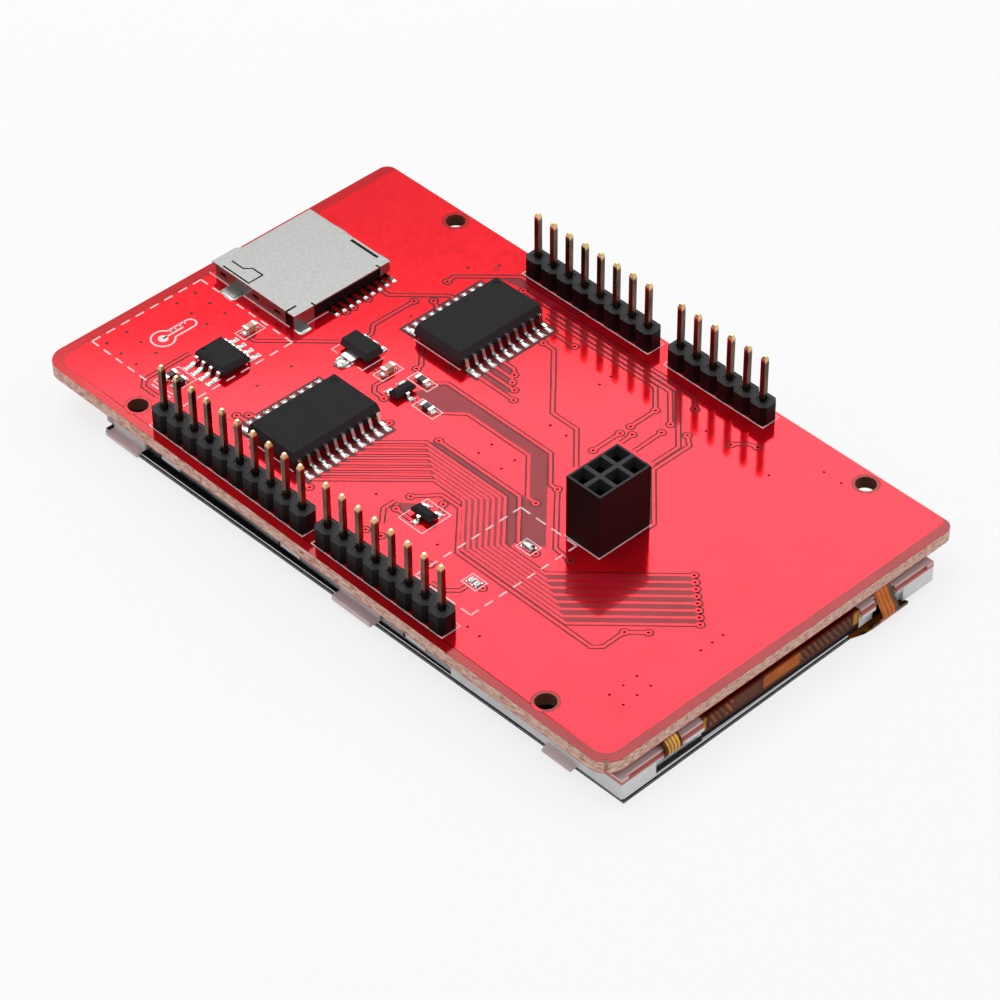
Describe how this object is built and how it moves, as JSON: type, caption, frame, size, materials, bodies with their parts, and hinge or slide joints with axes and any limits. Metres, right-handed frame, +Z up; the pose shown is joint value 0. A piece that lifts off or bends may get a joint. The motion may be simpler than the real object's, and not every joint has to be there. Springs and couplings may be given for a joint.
{
  "type": "tft display module",
  "caption": "Flat circuit board with two rows of upright pin headers, a card socket and chips on its back and a colour touch display bonded to its face.",
  "frame": {"origin": "centre of the touch panel's front face, which is the face it lies on", "axes": "+X along the board towards the end with the flexes, +Y across it towards the 8 and 6 pin header row, +Z up, away from the display"},
  "size_m": [0.0913, 0.0526, 0.0149],
  "materials": {
    "red_board": "glossy solder mask over glass epoxy",
    "black_plastic": "black moulded plastic",
    "gold_pin": "gold plated brass",
    "socket_steel": "satin stamped steel",
    "ivory_plastic": "moulded plastic",
    "spring_steel": "steel wire",
    "chip_plastic": "dark grey moulded epoxy",
    "tin": "tinned copper",
    "resistor_black": "glazed black over alumina",
    "capacitor_tan": "brown ceramic",
    "tray_steel": "dark blackened sheet steel",
    "white_plastic": "white reflecting plastic",
    "white_film": "white film",
    "clear_plastic": "clear acrylic",
    "polarizer": "dark polarizing film",
    "flex": "amber polyimide over copper",
    "lamp": "white lamp with yellow phosphor",
    "cell_glass": "display glass",
    "silicon": "bare polished silicon",
    "tape": "double-sided tape",
    "touch_glass": "touch panel glass",
    "touch_film": "hard coated clear film",
    "silver_print": "printed silver and adhesive",
    "foam_tape": "white foam tape"
  },
  "bodies": {
    "module": {"circuit_board": "red_board", "header_10_body": "black_plastic", "header_10_pins": "gold_pin", "header_8_near_body": "black_plastic", "header_8_near_pins": "gold_pin", "header_8_far_body": "black_plastic", "header_8_far_pins": "gold_pin", "header_6_body": "black_plastic", "header_6_pins": "gold_pin", "program_socket_body": "black_plastic", "program_socket_contacts": "gold_pin", "card_shell": "socket_steel", "card_base": "black_plastic", "card_contacts": "gold_pin", "card_spring": "spring_steel", "card_link": "spring_steel", "bus_chip_a_body": "chip_plastic", "bus_chip_a_leads": "tin", "bus_chip_b_body": "chip_plastic", "bus_chip_b_leads": "tin", "sensor_body": "chip_plastic", "sensor_leads": "tin", "regulator_body": "chip_plastic", "regulator_leads": "tin", "transistor_body": "chip_plastic", "transistor_leads": "tin", "monitor_body": "chip_plastic", "monitor_leads": "tin", "resistor_chips": "resistor_black", "resistor_ends": "tin", "capacitor_chips": "capacitor_tan", "capacitor_ends": "tin", "solder_pads": "tin", "back_tray": "tray_steel", "light_frame": "white_plastic", "reflector_sheet": "white_film", "light_guide": "clear_plastic", "diffuser_sheet": "white_film", "prism_sheet_lower": "clear_plastic", "prism_sheet_upper": "clear_plastic", "backlight_flex": "flex", "backlight_lamps": "lamp", "rear_polarizer": "polarizer", "array_glass": "cell_glass", "filter_glass": "cell_glass", "front_polarizer": "polarizer", "driver_chip": "silicon", "display_flex": "flex", "panel_tape": "tape", "touch_glass": "touch_glass", "touch_spacer": "silver_print", "touch_film": "touch_film", "touch_flex": "flex", "board_tape": "foam_tape"},
    "card_ejector": {"card_slider": "ivory_plastic"}
  },
  "joints": [
    {"name": "card_eject", "type": "slide", "parent": "module", "child": "card_ejector", "axis": [1, 0, 0], "range_m": [0, 0.003], "stiffness_N_per_m": 150, "springref_m": -0.002, "deforming": ["card_spring"]}
  ]
}
